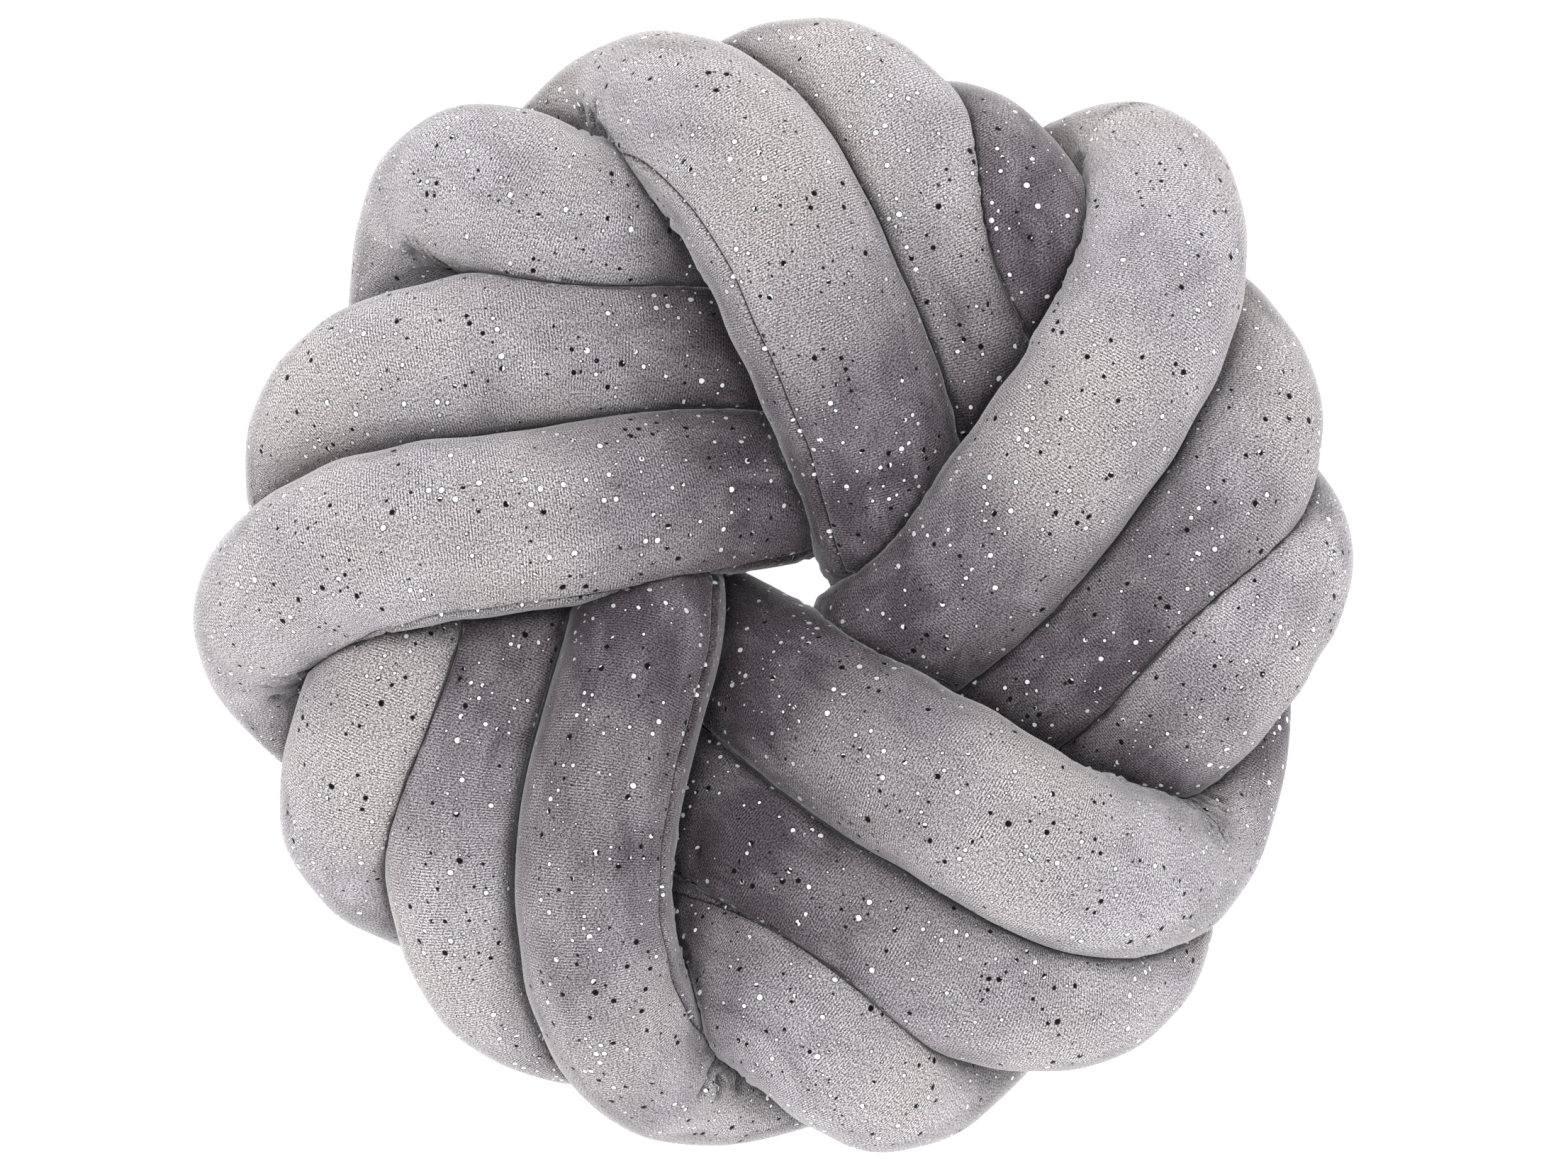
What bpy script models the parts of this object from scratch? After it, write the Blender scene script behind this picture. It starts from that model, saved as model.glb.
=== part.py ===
"""Knot cushion: two stuffed velvet tubes, each sewn end to end into a ring, plaited into a round flat knot.

Seen from above, five bands of three strands lie like a pinwheel round a small open centre. Each strand
comes up round the rim, crosses the band before it, dives beside the centre under the band after it, and
runs on underneath to the rim again, so the underside is woven as the face is. At the rim each band folds
over and its strands change places: the middle strands are one ring, the inner and outer ones another.

Metres, +Z up. The cushion lies on its back, with its origin at the middle of the surface it rests on.
"""

import bmesh
import bpy
import numpy as np

MM = 0.001

# ---------------------------------------------------------------- the stuffed tube
TUBE_HALF_WIDTH = 24.0 * MM  # of a strand that nothing presses
TUBE_HALF_HEIGHT = 21.0 * MM  # it lies a little flat
SQUARENESS = 8  # how sharply a round side turns into a pressed one
HALF_GAP = 0.8 * MM  # from a pressed side to the plane between it and its neighbour
UPPER_KEEPS = 0.2  # by this share of their distance the upper of two strands keeps more of its form
FOLD_SHARE = 0.92  # the inside of a fold stays this much short of the fold's own centre
SAME_PLACE = 9.0 * MM  # along a tube, closer than this is the section itself
SAME_STRAND = 44.0 * MM  # closer than this is the strand's own fold, further is a neighbour

# ---------------------------------------------------------------- the plait
BANDS = ("right", "top", "left", "low_left", "low_right")
BAND_STEP = 360 / len(BANDS)
FIRST_AXIS = -44.0  # direction in which the right band dives beside the centre
BANDS_SKIPPED = 2  # a tube leaves one band and comes up again two bands further round

# Half a strand, from where it dives beside the centre out to the fold at the rim.
# Columns: degrees round from the band's axis, mm from the centre, mm above the middle plane.
HALF_STRAND = {
    "inner": (
        (0, 27.5, 0),
        (18, 29, 7),
        (38, 36, 16),
        (57, 51, 27),
        (71, 73, 35),
        (79, 96, 36),
        (86.5, 120, 27),
        (96, 134, 0),
    ),
    "middle": (
        (0, 61, 0),
        (15, 63.5, 5),
        (29, 73, 12),
        (42, 88, 18.5),
        (54, 107, 20),
        (64, 124, 13),
        (72, 130, 0),
    ),
    "outer": (
        (0, 94, 0),
        (11, 94.5, 3),
        (22, 99, 9),
        (33, 110, 18),
        (42, 125, 14),
        (48, 132, 0),
    ),
}

# How far the hand-made plait strays from an even one, strand by strand.
# Columns: degrees round and mm outwards at the rim, then on the strand's body, then at its dive.
STRAY = {
    ("inner", "right"): (-1, 2, 0, 0, 0, 0),
    ("middle", "right"): (-2, -8, 0, 0, 0, 0),
    ("outer", "right"): (0, -11, 0, -1, 0, -3),
    ("inner", "top"): (-14, -3, -9, 0, -1, 0),
    ("middle", "top"): (-9, -2, -6, 0, -3, 0),
    ("outer", "top"): (-5, -15, -4, -5, 0, 0),
    ("inner", "left"): (-11, 8, 0, 3, 5, 3),
    ("middle", "left"): (-8, 3, -5, 2, -1, 0),
    ("outer", "left"): (-15, 7, -8, 6, -4, 4),
    ("inner", "low_left"): (-14, 0, -23, 0, -17, 20),
    ("middle", "low_left"): (-10, 0, -14, 1, -4, 16),
    ("outer", "low_left"): (-11, 2, -12, 2, -4, 10),
    ("inner", "low_right"): (-17, -16, -8, -1, 0, 2),
    ("middle", "low_right"): (-8, -2, -9, 0, -5, 6),
    ("outer", "low_right"): (-12, -2, -8, 3, -5, 10),
}
DRAWN_TIGHT = {("inner", "low_left"): 0.87}  # share of the tube's width that a strand keeps, where it is less
RIM_FROM = 0.6  # share of the sweep from which a strand strays as its rim does
RIM_FROM_UNDERNEATH = 0.8
DIVE_UNTIL = 0.7  # and up to which it strays as its dive does
GIVING_WAY = 0.9  # share of a rim fold's inward stray by which the strand beneath it moves in too
TUCKED_UNDERNEATH = 6  # mm by which a fold leans in below the middle plane
RIM_ABOVE = {"outer": ("outer", 1), "middle": ("inner", 2)}  # which strand's fold that is, bands back

# ---------------------------------------------------------------- how finely each is built
CURVE_STEP = 1.0 * MM
CURVE_EASING = 5.0 * MM  # a stuffed tube takes no bend sharper than this
KNOT_SAMPLES = 24  # curve points between two stations
NEIGHBOUR_STEP = 3  # every third curve point stands for its strand
BEND_STEP = 7  # curve points either side of the one whose bend is measured
SIDES = 14
SECTION_STEP = 10.5 * MM
FOLD_CROWDING = 0.6  # sections crowd together where a tube folds
FLAT_DEPTH = 3.5 * MM  # how far the undersides are pressed flat where the cushion rests

VELVET = {"colour": (0.30, 0.27, 0.29, 1.0), "roughness": 0.9, "sheen": 0.4}


def eased(share):
    """0 to 1 with soft ends."""
    share = np.clip(share, 0, 1)
    return share * share * (3 - 2 * share)


def strayed(share, radius, rim_from, rim, body, dive):
    """How far round a station is moved, and its new distance from the centre."""
    at_rim = eased((share - rim_from) / (1 - rim_from))
    at_dive = eased(1 - share / DIVE_UNTIL) * (1 - at_rim)
    on_body = 1 - at_rim - at_dive
    turn = rim[0] * at_rim + body[0] * on_body + dive[0] * at_dive
    return turn, radius + rim[1] * at_rim + body[1] * on_body + dive[1] * at_dive


def strand_stations(strand, band, next_strand):
    """One pass of a tube: from the rim over the face, down beside the centre, and back underneath."""
    half = HALF_STRAND[strand]
    whole_sweep = half[-1][0]
    axis = FIRST_AXIS + BAND_STEP * band
    stray = STRAY[strand, BANDS[band]]
    next_band = (band - BANDS_SKIPPED) % len(BANDS)
    next_turn, next_reach = STRAY[next_strand, BANDS[next_band]][:2]
    next_rim = (next_turn, min(next_reach, 0) - TUCKED_UNDERNEATH)
    rim, body, dive = stray[:2], stray[2:4], stray[4:]
    stations = []
    for sweep, radius, height in reversed(half):
        turn, reach = strayed(sweep / whole_sweep, radius, RIM_FROM, rim, body, dive)
        stations.append((axis + sweep + turn, reach, height))
    # Underneath, the dive behind it and the rim ahead of it pull the strand aside, the rim leans in,
    # and the strand makes room for the rim fold above it.
    body = (0, 0)
    if strand in RIM_ABOVE:
        above, bands_back = RIM_ABOVE[strand]
        inward = min(STRAY[above, BANDS[band - bands_back]][1], 0)
        body = (0, inward * GIVING_WAY)
    for sweep, radius, height in half[1:-1]:
        turn, reach = strayed(sweep / whole_sweep, radius, RIM_FROM_UNDERNEATH, next_rim, body, dive)
        stations.append((axis - sweep + turn, reach, -height))
    angle, reach, height = np.array(stations).T
    angle = np.radians(angle)
    return np.stack([reach * np.cos(angle), reach * np.sin(angle), height], axis=1) * MM


def ring_stations(strands):
    """All passes of one closed tube, taking these strands in turn, and each station's share of full width."""
    passes = []
    widths = []
    band = 0
    for count in range(len(BANDS) * len(strands)):
        strand = strands[count % len(strands)]
        next_strand = strands[(count + 1) % len(strands)]
        passes.append(strand_stations(strand, band, next_strand))
        face = len(HALF_STRAND[strand])
        widths += [DRAWN_TIGHT.get((strand, BANDS[band]), 1.0)] * face + [1.0] * (len(passes[-1]) - face)
        band = (band - BANDS_SKIPPED) % len(BANDS)
    return np.concatenate(passes), widths


def shared_along(line, stations, values):
    """The stations' values, spread evenly over the points of the closed line between them."""
    places = [int(np.argmin(((line - station) ** 2).sum(axis=1))) for station in stations]
    return np.interp(np.arange(len(line)), places, values, period=len(line))


def spaced_evenly(points):
    """Points along a closed line, CURVE_STEP apart."""
    closed = np.vstack([points, points[:1]])
    along = np.r_[0, np.cumsum(np.linalg.norm(np.diff(closed, axis=0), axis=1))]
    count = round(along[-1] / CURVE_STEP)
    wanted = np.arange(count) * along[-1] / count
    return np.stack([np.interp(wanted, along, closed[:, k]) for k in range(3)], axis=1)


def centreline(stations):
    """Smooth closed line through the stations: a centripetal Catmull-Rom curve, eased like a stuffed tube."""
    knots = np.sqrt(np.linalg.norm(np.roll(stations, -1, axis=0) - stations, axis=1))
    count = len(stations)
    pieces = []
    for i in range(count):
        p0, p1 = stations[i - 1], stations[i]
        p2, p3 = stations[(i + 1) % count], stations[(i + 2) % count]
        t1 = knots[i - 1]
        t2 = t1 + knots[i]
        t3 = t2 + knots[(i + 1) % count]
        t = np.linspace(t1, t2, KNOT_SAMPLES)[:-1, None]
        a1 = (t1 - t) / t1 * p0 + t / t1 * p1
        a2 = (t2 - t) / (t2 - t1) * p1 + (t - t1) / (t2 - t1) * p2
        a3 = (t3 - t) / (t3 - t2) * p2 + (t - t2) / (t3 - t2) * p3
        b1 = (t2 - t) / t2 * a1 + t / t2 * a2
        b2 = (t3 - t) / (t3 - t1) * a2 + (t - t1) / (t3 - t1) * a3
        pieces.append((t2 - t) / (t2 - t1) * b1 + (t - t1) / (t2 - t1) * b2)
    line = spaced_evenly(np.concatenate(pieces))
    spread = round(CURVE_EASING / CURVE_STEP)
    offsets = np.arange(-3 * spread, 3 * spread + 1)
    weights = np.exp(-0.5 * (offsets / spread) ** 2)
    weights /= weights.sum()
    eased_line = sum(w * np.roll(line, k, axis=0) for w, k in zip(weights, offsets))
    return spaced_evenly(eased_line)


def travelling_frames(line):
    """Two directions across the tube at each point, that turn no more than the line makes them."""
    tangent = np.roll(line, -1, axis=0) - np.roll(line, 1, axis=0)
    tangent /= np.linalg.norm(tangent, axis=1, keepdims=True)
    across = np.zeros_like(line)
    carried = np.array([0.0, 0.0, 1.0])
    for i, direction in enumerate(tangent):
        carried = carried - direction * carried.dot(direction)
        carried /= np.linalg.norm(carried)
        across[i] = carried
    # The twist left over after one round is shared out along the ring, so that it closes.
    closing = carried - tangent[0] * carried.dot(tangent[0])
    twist = np.arctan2(np.cross(closing, across[0]).dot(tangent[0]), closing.dot(across[0]))
    share = (twist * np.arange(len(line)) / len(line))[:, None]
    other = np.cross(tangent, across)
    across = across * np.cos(share) + other * np.sin(share)
    return across, np.cross(tangent, across)


def bends(line):
    """Curvature at each point, pointing to the inside of the bend."""
    span = BEND_STEP * CURVE_STEP
    return (np.roll(line, -BEND_STEP, axis=0) - 2 * line + np.roll(line, BEND_STEP, axis=0)) / span**2


def section_places(bend):
    """Indices of the curve points that carry a section, closer together on a fold."""
    density = 1 + FOLD_CROWDING * np.linalg.norm(bend, axis=1) * TUBE_HALF_WIDTH
    along = np.r_[0, np.cumsum(density)] * CURVE_STEP
    count = round(len(bend) * CURVE_STEP / SECTION_STEP)
    return np.searchsorted(along, np.arange(count) * along[-1] / count)


def halfway(outward, away, upper_keeps=0.0):
    """How far each outward direction goes before it meets the plane between its start and another point.

    The plane lies half way, or lower by upper_keeps of their distance where one is right above the other.
    """
    distance = np.linalg.norm(away, axis=1)
    towards = np.maximum(outward @ away.T, 1e-9)
    share = 0.5 - upper_keeps * away[:, 2] / distance
    return (share * distance**2 / towards).min(axis=1)


def tube_sections(line, other_line, widths):
    """Rings of points round a tube: round where it is free, flat where it presses another strand."""
    across, beside = travelling_frames(line)
    bend = bends(line)
    own = np.arange(0, len(line), NEIGHBOUR_STEP)
    others = other_line[::NEIGHBOUR_STEP]
    angle = np.arange(SIDES) * 2 * np.pi / SIDES
    sections = []
    for place in section_places(bend):
        outward = np.cos(angle)[:, None] * across[place] + np.sin(angle)[:, None] * beside[place]
        apart = np.abs(own - place)
        apart = np.minimum(apart, len(line) - apart) * CURVE_STEP
        neighbours = np.concatenate([others, line[own[apart > SAME_STRAND]]])
        fold = line[own[(apart > SAME_PLACE) & (apart <= SAME_STRAND)]]
        pressed = halfway(outward, neighbours - line[place], UPPER_KEEPS) - HALF_GAP
        folded = halfway(outward, fold - line[place]) * FOLD_SHARE
        level, upright = 1 - outward[:, 2] ** 2, outward[:, 2] ** 2
        half_width = TUBE_HALF_WIDTH * widths[place]
        free = 1 / np.sqrt(level / half_width**2 + upright / TUBE_HALF_HEIGHT**2)
        limits = np.stack([free, pressed, folded])
        radius = (limits**-SQUARENESS).sum(axis=0) ** (-1 / SQUARENESS)
        sections.append(line[place] + outward * radius[:, None])
    return np.array(sections)


def pressed_flat(tubes):
    """Both tubes set on the ground plane: undersides pressed flat, and the box centred on the origin."""
    points = np.concatenate([sections.reshape(-1, 3) for sections in tubes])
    ground = points[:, 2].min() + FLAT_DEPTH
    middle = (points.min(axis=0) + points.max(axis=0)) / 2
    settled = []
    for sections in tubes:
        placed = sections - (middle[0], middle[1], ground)
        placed[:, :, 2] = np.maximum(placed[:, :, 2], 0)
        settled.append(placed)
    return settled


def velvet_material(name):
    material = bpy.data.materials.new(name)
    material.use_nodes = True
    shader = material.node_tree.nodes["Principled BSDF"]
    shader.inputs["Base Color"].default_value = VELVET["colour"]
    shader.inputs["Roughness"].default_value = VELVET["roughness"]
    shader.inputs["Sheen Weight"].default_value = VELVET["sheen"]
    shader.inputs["Metallic"].default_value = 0.0
    return material


def tube_object(name, sections, collection):
    """Closed ring of cloth lofted through its sections."""
    mesh = bmesh.new()
    rings = [[mesh.verts.new(point) for point in section] for section in sections]
    for i, ring in enumerate(rings):
        following = rings[(i + 1) % len(rings)]
        for k in range(SIDES):
            after = (k + 1) % SIDES
            mesh.faces.new((ring[k], ring[after], following[after], following[k]))
    bmesh.ops.triangulate(mesh, faces=mesh.faces[:])
    bmesh.ops.recalc_face_normals(mesh, faces=mesh.faces[:])
    data = bpy.data.meshes.new(name)
    mesh.to_mesh(data)
    mesh.free()
    data.shade_smooth()
    data.materials.append(velvet_material(name + "_velvet"))
    collection.objects.link(bpy.data.objects.new(name, data))


def build_cushion():
    for old in list(bpy.data.objects):
        bpy.data.objects.remove(old, do_unlink=True)
    collection = bpy.data.collections.new("knot_cushion")
    bpy.context.scene.collection.children.link(collection)
    long_stations, long_widths = ring_stations(("inner", "outer"))
    short_stations, short_widths = ring_stations(("middle",))
    long_line = centreline(long_stations)
    short_line = centreline(short_stations)
    tubes = [
        tube_sections(long_line, short_line, shared_along(long_line, long_stations, long_widths)),
        tube_sections(short_line, long_line, shared_along(short_line, short_stations, short_widths)),
    ]
    for name, sections in zip(("long_tube", "short_tube"), pressed_flat(tubes)):
        tube_object(name, sections, collection)


build_cushion()
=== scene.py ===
"""Knot cushion of stuffed velvet tubes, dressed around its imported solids.

The sections below follow the making: the plait that both tubes lie in, the sleeves sewn for them, the
velvet that these are cut from, the long tube, the short tube, and last the studio that shows them.
"""

import bpy
import numpy as np
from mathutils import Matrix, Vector
from mathutils.bvhtree import BVHTree


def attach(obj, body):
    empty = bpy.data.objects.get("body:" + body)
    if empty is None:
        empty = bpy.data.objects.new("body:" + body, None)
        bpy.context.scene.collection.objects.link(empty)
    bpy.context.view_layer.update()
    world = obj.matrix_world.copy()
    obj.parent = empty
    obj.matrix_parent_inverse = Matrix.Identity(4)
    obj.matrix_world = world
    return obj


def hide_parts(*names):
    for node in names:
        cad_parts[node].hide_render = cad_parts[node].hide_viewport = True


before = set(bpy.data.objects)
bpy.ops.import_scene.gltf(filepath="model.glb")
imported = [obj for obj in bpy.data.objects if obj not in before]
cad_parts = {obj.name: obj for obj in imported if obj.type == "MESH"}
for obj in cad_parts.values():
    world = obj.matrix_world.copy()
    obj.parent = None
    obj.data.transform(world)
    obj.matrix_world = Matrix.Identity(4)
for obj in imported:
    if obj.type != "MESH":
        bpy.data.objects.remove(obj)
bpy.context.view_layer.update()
bpy.ops.object.select_all(action="DESELECT")

# ------------------------------------------------------------------------------------- the plait
# Two stuffed tubes are plaited by hand into a flat pinwheel of five bands with three strands each, and
# each tube is then sewn end to end into a ring. A strand comes up round the rim, crosses the band before
# it, dives beside the open centre, and runs on underneath to the rim again. The solids lie the same way.
MM = 0.001
TUBE_HALF_WIDTH = 24.0 * MM
TUBE_HALF_HEIGHT = 21.0 * MM
SQUARENESS = 8  # how sharply a round side turns into a pressed one
HALF_GAP = 0.15 * MM  # of what stays between two strands' cloth, too little to see
UPPER_KEEPS = 0.2  # the upper of two strands keeps more of its form
FOLD_SHARE = 0.92  # inside a fold, the tube goes this share of the way to the fold's middle
SAME_PLACE = 9.0 * MM  # along the tube: what is nearer than this can't press on it,
SAME_STRAND = 44.0 * MM  # what is nearer than this is the same fold, and the rest is a neighbour
TOWARDS_AT_LEAST = 1e-9  # so that a direction away from a neighbour meets it far out
BANDS = ("right", "top", "left", "low_left", "low_right")
BAND_STEP = 360 / len(BANDS)
FIRST_AXIS = -44.0  # degrees
BANDS_SKIPPED = 2  # a tube's next pass lies this many bands back

# Half a strand, from its dive beside the centre out to the fold at the rim.
# Columns: degrees round from the band's axis, mm from the centre, mm above the middle plane.
HALF_STRAND = {
    "inner": (
        (0, 27.5, 0),
        (18, 29, 7),
        (38, 36, 16),
        (57, 51, 27),
        (71, 73, 35),
        (79, 96, 36),
        (86.5, 120, 27),
        (96, 134, 0),
    ),
    "middle": (
        (0, 61, 0),
        (15, 63.5, 5),
        (29, 73, 12),
        (42, 88, 18.5),
        (54, 107, 20),
        (64, 124, 13),
        (72, 130, 0),
    ),
    "outer": (
        (0, 94, 0),
        (11, 94.5, 3),
        (22, 99, 9),
        (33, 110, 18),
        (42, 125, 14),
        (48, 132, 0),
    ),
}

# How far the hand-made plait strays from an even one, strand by strand.
# Columns: degrees round and mm outwards at the rim, then on the strand's body, then at its dive.
STRAY = {
    ("inner", "right"): (-1, 2, 0, 0, 0, 0),
    ("middle", "right"): (-2, -8, 0, 0, 0, 0),
    ("outer", "right"): (0, -11, 0, -1, 0, -3),
    ("inner", "top"): (-14, -3, -9, 0, -1, 0),
    ("middle", "top"): (-9, -2, -6, 0, -3, 0),
    ("outer", "top"): (-5, -15, -4, -5, 0, 0),
    ("inner", "left"): (-11, 8, 0, 3, 5, 3),
    ("middle", "left"): (-8, 3, -5, 2, -1, 0),
    ("outer", "left"): (-15, 7, -8, 6, -4, 4),
    ("inner", "low_left"): (-14, 0, -23, 0, -17, 20),
    ("middle", "low_left"): (-10, 0, -14, 1, -4, 16),
    ("outer", "low_left"): (-11, 2, -12, 2, -4, 10),
    ("inner", "low_right"): (-17, -16, -8, -1, 0, 2),
    ("middle", "low_right"): (-8, -2, -9, 0, -5, 6),
    ("outer", "low_right"): (-12, -2, -8, 3, -5, 10),
}

# Share of the way from a strand's dive to the rim at which the painted shade at the dive turns into the
# painted light at the rim.
PAINTED_SHADE_ENDS = {
    ("inner", "right"): 0.68,
    ("middle", "right"): 0.76,
    ("outer", "right"): 0.64,
    ("inner", "top"): 0.74,
    ("middle", "top"): 0.66,
    ("outer", "top"): 1.0,
    ("inner", "left"): 0.64,
    ("middle", "left"): 0.54,
    ("outer", "left"): 0.56,
    ("inner", "low_left"): 0.88,
    ("middle", "low_left"): 0.7,
    ("outer", "low_left"): 0.6,
    ("inner", "low_right"): 0.66,
    ("middle", "low_right"): 0.72,
    ("outer", "low_right"): 0.62,
}
PAINTED_SHADE_FADING = 0.26  # half the share over which it does
DRAWN_TIGHT = {("inner", "low_left"): 0.87}  # share of the tube's width that a strand keeps

# Shares of the way from a strand's dive to the rim.
RIM_FROM = 0.6  # the shift at the rim sets in here on the face
RIM_FROM_UNDERNEATH = 0.8  # and here underneath
DIVE_UNTIL = 0.7  # and the shift at the dive ends here

RIM_ABOVE = {"outer": ("outer", 1), "middle": ("inner", 2)}  # whose fold lies over it, how many bands back
GIVING_WAY = 0.9  # share of that fold's shift inwards that the strand under it follows
TUCKED_UNDERNEATH = 6  # mm further in that a strand underneath comes to the next fold
CURVE_STEP = 1.0 * MM
CURVE_EASING = 5.0 * MM  # a stuffed tube turns no corner, so its line is eased over this length
EASING_REACH = 3  # and the easing reaches this many of them to either side
KNOT_SAMPLES = 24  # points of the curve between two stations
NEIGHBOUR_STEP = 3  # one point in three of a line stands for its strand when it presses on others
BEND_STEP = 7  # points to either side over which a bend is measured
FLAT_DEPTH = 3.5 * MM  # how far its own weight flattens the underside


def eased(share):
    """0 to 1 with soft ends."""
    share = np.clip(share, 0, 1)
    return share * share * (3 - 2 * share)


def strayed(share, radius, rim_from, rim, body, dive):
    """How far round a station is moved, and its new distance from the centre."""
    at_rim = eased((share - rim_from) / (1 - rim_from))
    at_dive = eased(1 - share / DIVE_UNTIL) * (1 - at_rim)
    on_body = 1 - at_rim - at_dive
    turn = rim[0] * at_rim + body[0] * on_body + dive[0] * at_dive
    return turn, radius + rim[1] * at_rim + body[1] * on_body + dive[1] * at_dive


def strand_stations(strand, band, next_strand):
    """One pass of a tube: from the rim over the face, down beside the centre, and back underneath."""
    half = HALF_STRAND[strand]
    whole_sweep = half[-1][0]
    axis = FIRST_AXIS + BAND_STEP * band
    stray = STRAY[strand, BANDS[band]]
    next_band = (band - BANDS_SKIPPED) % len(BANDS)
    next_turn, next_reach = STRAY[next_strand, BANDS[next_band]][:2]
    next_rim = (next_turn, min(next_reach, 0) - TUCKED_UNDERNEATH)
    rim, body, dive = stray[:2], stray[2:4], stray[4:]
    stations = []
    for sweep, radius, height in reversed(half):
        turn, reach = strayed(sweep / whole_sweep, radius, RIM_FROM, rim, body, dive)
        stations.append((axis + sweep + turn, reach, height))
    body = (0, 0)
    if strand in RIM_ABOVE:
        above, bands_back = RIM_ABOVE[strand]
        inward = min(STRAY[above, BANDS[band - bands_back]][1], 0)
        body = (0, inward * GIVING_WAY)
    for sweep, radius, height in half[1:-1]:
        turn, reach = strayed(sweep / whole_sweep, radius, RIM_FROM_UNDERNEATH, next_rim, body, dive)
        stations.append((axis - sweep + turn, reach, -height))
    angle, reach, height = np.array(stations).T
    angle = np.radians(angle)
    return np.stack([reach * np.cos(angle), reach * np.sin(angle), height], axis=1) * MM


def ring_passes(strands):
    """The passes of one closed tube, as (strand, band), taking these strands in turn."""
    passes = []
    band = 0
    for count in range(len(BANDS) * len(strands)):
        passes.append((strands[count % len(strands)], band))
        band = (band - BANDS_SKIPPED) % len(BANDS)
    return passes


def ring_stations(strands):
    """All stations of one closed tube, each one's share from painted shade at the dive to painted light at
    the rim, how wide the tube is at each, and its faces.

    A face here is the run of stations that one pass has on the cushion's face.
    """
    stations = []
    painted_lightness = []
    widths = []
    faces = []
    for count, (strand, band) in enumerate(ring_passes(strands)):
        swept = np.array([row[0] for row in HALF_STRAND[strand]]) / HALF_STRAND[strand][-1][0]
        half = list(eased(0.5 + (swept - PAINTED_SHADE_ENDS[strand, BANDS[band]]) / (2 * PAINTED_SHADE_FADING)))
        faces.append(range(len(painted_lightness), len(painted_lightness) + len(half)))
        painted_lightness += half[::-1] + half[1:-1]
        widths += [DRAWN_TIGHT.get((strand, BANDS[band]), 1.0)] * len(half) + [1.0] * len(half[1:-1])
        stations.append(strand_stations(strand, band, strands[(count + 1) % len(strands)]))
    return np.concatenate(stations), painted_lightness, widths, faces


def spaced_evenly(points):
    """Points along a closed line, CURVE_STEP apart."""
    closed = np.vstack([points, points[:1]])
    along = np.r_[0, np.cumsum(np.linalg.norm(np.diff(closed, axis=0), axis=1))]
    count = round(along[-1] / CURVE_STEP)
    wanted = np.arange(count) * along[-1] / count
    return np.stack([np.interp(wanted, along, closed[:, k]) for k in range(3)], axis=1)


def centreline(stations):
    """Closed line through the stations: a centripetal Catmull-Rom curve, eased as a stuffed tube is."""
    knots = np.sqrt(np.linalg.norm(np.roll(stations, -1, axis=0) - stations, axis=1))
    count = len(stations)
    pieces = []
    for i in range(count):
        p0, p1 = stations[i - 1], stations[i]
        p2, p3 = stations[(i + 1) % count], stations[(i + 2) % count]
        t1 = knots[i - 1]
        t2 = t1 + knots[i]
        t3 = t2 + knots[(i + 1) % count]
        t = np.linspace(t1, t2, KNOT_SAMPLES)[:-1, None]
        a1 = (t1 - t) / t1 * p0 + t / t1 * p1
        a2 = (t2 - t) / (t2 - t1) * p1 + (t - t1) / (t2 - t1) * p2
        a3 = (t3 - t) / (t3 - t2) * p2 + (t - t2) / (t3 - t2) * p3
        b1 = (t2 - t) / t2 * a1 + t / t2 * a2
        b2 = (t3 - t) / (t3 - t1) * a2 + (t - t1) / (t3 - t1) * a3
        pieces.append((t2 - t) / (t2 - t1) * b1 + (t - t1) / (t2 - t1) * b2)
    line = spaced_evenly(np.concatenate(pieces))
    spread = round(CURVE_EASING / CURVE_STEP)
    offsets = np.arange(-EASING_REACH * spread, EASING_REACH * spread + 1)
    weights = np.exp(-0.5 * (offsets / spread) ** 2)
    weights /= weights.sum()
    eased_line = sum(w * np.roll(line, k, axis=0) for w, k in zip(weights, offsets))
    return spaced_evenly(eased_line)


def travelling_frames(line):
    """Tangent and two directions across the tube at each point, turning no more than the line makes them."""
    tangent = np.roll(line, -1, axis=0) - np.roll(line, 1, axis=0)
    tangent /= np.linalg.norm(tangent, axis=1, keepdims=True)
    across = np.zeros_like(line)
    carried = np.array([0.0, 0.0, 1.0])
    for i, direction in enumerate(tangent):
        carried = carried - direction * carried.dot(direction)
        carried /= np.linalg.norm(carried)
        across[i] = carried
    closing = carried - tangent[0] * carried.dot(tangent[0])
    twist = np.arctan2(np.cross(closing, across[0]).dot(tangent[0]), closing.dot(across[0]))
    share = (twist * np.arange(len(line)) / len(line))[:, None]
    other = np.cross(tangent, across)
    across = across * np.cos(share) + other * np.sin(share)
    return tangent, across, np.cross(tangent, across)


def bends(line):
    """Curvature at each point, pointing to the inside of the bend."""
    span = BEND_STEP * CURVE_STEP
    return (np.roll(line, -BEND_STEP, axis=0) - 2 * line + np.roll(line, BEND_STEP, axis=0)) / span**2


def halfway(outward, away, upper_keeps=0.0):
    """How far each outward direction goes before it meets the plane between its start and another point."""
    distance = np.linalg.norm(away, axis=1)
    towards = np.maximum(outward @ away.T, TOWARDS_AT_LEAST)
    share = 0.5 - upper_keeps * away[:, 2] / distance
    return (share * distance**2 / towards).min(axis=1)


# ------------------------------------------------------------------------------- the sewn sleeves
# Each tube is a sleeve cut from one strip of ribbed velvet, sewn along its length with a plain machine
# seam and turned right side out. The seam rolls slowly round the stuffed tube, so it shows on some
# strands of the face and hides under others; inside a fold the cloth has length to spare and puckers.
TUBE_GIRTH = 142.0 * MM  # flat width of the strip between its seam allowances
SECTION_STEP = 2.02 * MM
FOLD_CROWDING = 1.3  # sections lie closer in a bend, by this times how sharp it is
MOST_STRETCHED = 1.2  # a bend's outside is longer, and up to this share the cloth's pattern follows it
SEAM_COLUMNS = (0.6, 1.3, 2.2, 3.4)  # mm from the seam, where the mesh is finer
PLAIN_COLUMNS = 59
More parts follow.
